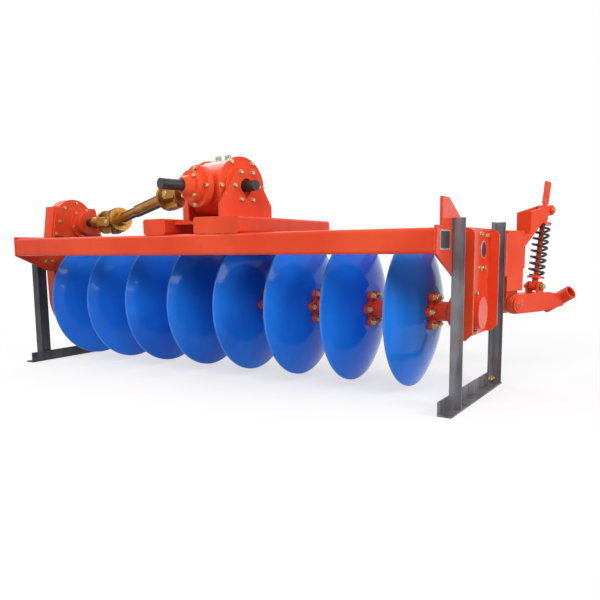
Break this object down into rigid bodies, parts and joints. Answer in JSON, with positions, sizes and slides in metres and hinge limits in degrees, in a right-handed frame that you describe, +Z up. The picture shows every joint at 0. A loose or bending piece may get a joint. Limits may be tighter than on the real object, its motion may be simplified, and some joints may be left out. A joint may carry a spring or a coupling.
{
  "type": "driven disc plough",
  "caption": "Driven disc plough: gang of concave discs under a welded frame, angled gearbox with cardan shaft to a side gear case, sprung tail arm, parked on angle-iron stands.",
  "frame": {"origin": "centre of the bounding box on the ground under the stands", "axes": "+X along the gang towards the bearing end, +Y across the gang away from the power input, +Z up"},
  "size_m": [2.4612, 1.3976, 0.929],
  "materials": {
    "frame_red": "gloss enamel",
    "disc_enamel": "gloss enamel",
    "stand_steel": "bare, dull, a little rust",
    "drive_gold": "yellow zinc",
    "shaft_black": "black",
    "spring_black": "black"
  },
  "bodies": {
    "frame": {"front_beam": "frame_red", "rear_beam": "frame_red", "left_rail": "frame_red", "right_rail": "frame_red", "rail_bridge": "frame_red", "left_end_plate": "frame_red", "right_end_plate": "frame_red", "end_upright": "frame_red", "bearing_channel": "frame_red", "bearing_housing": "frame_red", "bearing_cover": "frame_red", "side_case": "frame_red", "side_cover": "frame_red", "side_hub": "frame_red", "gearbox_case": "frame_red", "input_cap": "frame_red", "right_support": "frame_red", "left_support": "frame_red", "left_foot": "stand_steel", "left_posts": "stand_steel", "right_foot": "stand_steel", "right_posts": "stand_steel", "tail_bracket": "frame_red", "tail_post": "frame_red", "spring_bracket": "frame_red", "tail_pin": "frame_red", "swivel_pin": "drive_gold"},
    "gang": {"gang_shaft": "frame_red", "gang_spools": "frame_red", "disc_hubs": "frame_red", "discs": "disc_enamel"},
    "input_drive": {"pto_shaft": "shaft_black"},
    "output_drive": {"output_shaft": "shaft_black", "gearbox_yoke": "drive_gold", "gearbox_cross": "drive_gold"},
    "cardan": {"cardan_outer": "drive_gold", "cardan_inner": "drive_gold"},
    "side_drive": {"side_shaft": "shaft_black", "side_yoke": "drive_gold", "side_cross": "drive_gold"},
    "tail": {"tail_arm": "frame_red", "wheel_tube": "frame_red", "rod_pin": "drive_gold"},
    "rod": {"spring_rod": "frame_red", "tail_spring": "spring_black"},
    "swivel": {"spring_swivel": "frame_red"}
  },
  "joints": [
    {"name": "gang_spin", "type": "hinge", "parent": "frame", "child": "gang", "pos_m": [-1.04856, -0.1364, 0.318], "axis": [1, 0, 0], "continuous": true},
    {"name": "input_spin", "type": "hinge", "parent": "frame", "child": "input_drive", "pos_m": [0.01944, -0.3834, 0.811], "axis": [-0.2079, -0.9781, 0], "continuous": true},
    {"name": "output_spin", "type": "hinge", "parent": "frame", "child": "output_drive", "pos_m": [0.01944, -0.3834, 0.811], "axis": [0.9781, -0.2079, 0], "continuous": true},
    {"name": "cardan_spin", "type": "hinge", "parent": "frame", "child": "cardan", "pos_m": [-0.90856, -0.1364, 0.712], "axis": [0.9465, -0.2809, 0.1587], "continuous": true},
    {"name": "side_spin", "type": "hinge", "parent": "frame", "child": "side_drive", "pos_m": [-0.90856, -0.1364, 0.712], "axis": [1, 0, 0], "continuous": true},
    {"name": "tail_pivot", "type": "hinge", "parent": "frame", "child": "tail", "pos_m": [1.00944, 0.30828, 0.318], "axis": [0.9205, -0.3907, 0], "range_deg": [0, 8], "stiffness_Nm_per_rad": 1500, "springref_deg": -2.86, "deforming": ["tail_spring"]},
    {"name": "rod_pivot", "type": "hinge", "parent": "tail", "child": "rod", "pos_m": [1.08016, 0.47489, 0.387], "axis": [0.9205, -0.3907, 0], "range_deg": [-11.76, 0.5]},
    {"name": "swivel_pivot", "type": "hinge", "parent": "frame", "child": "swivel", "pos_m": [1.10048, 0.52276, 0.721], "axis": [0.9205, -0.3907, 0], "range_deg": [-3.36, 0.5]}
  ],
  "couplings": [
    {"joint": "side_spin", "follows": "gang_spin", "ratio": 2.6},
    {"joint": "cardan_spin", "follows": "gang_spin", "ratio": 2.6},
    {"joint": "output_spin", "follows": "gang_spin", "ratio": 2.6},
    {"joint": "input_spin", "follows": "gang_spin", "ratio": -3.9},
    {"joint": "rod_pivot", "follows": "tail_pivot", "ratio": -1.3402},
    {"joint": "swivel_pivot", "follows": "tail_pivot", "ratio": -0.3402}
  ]
}
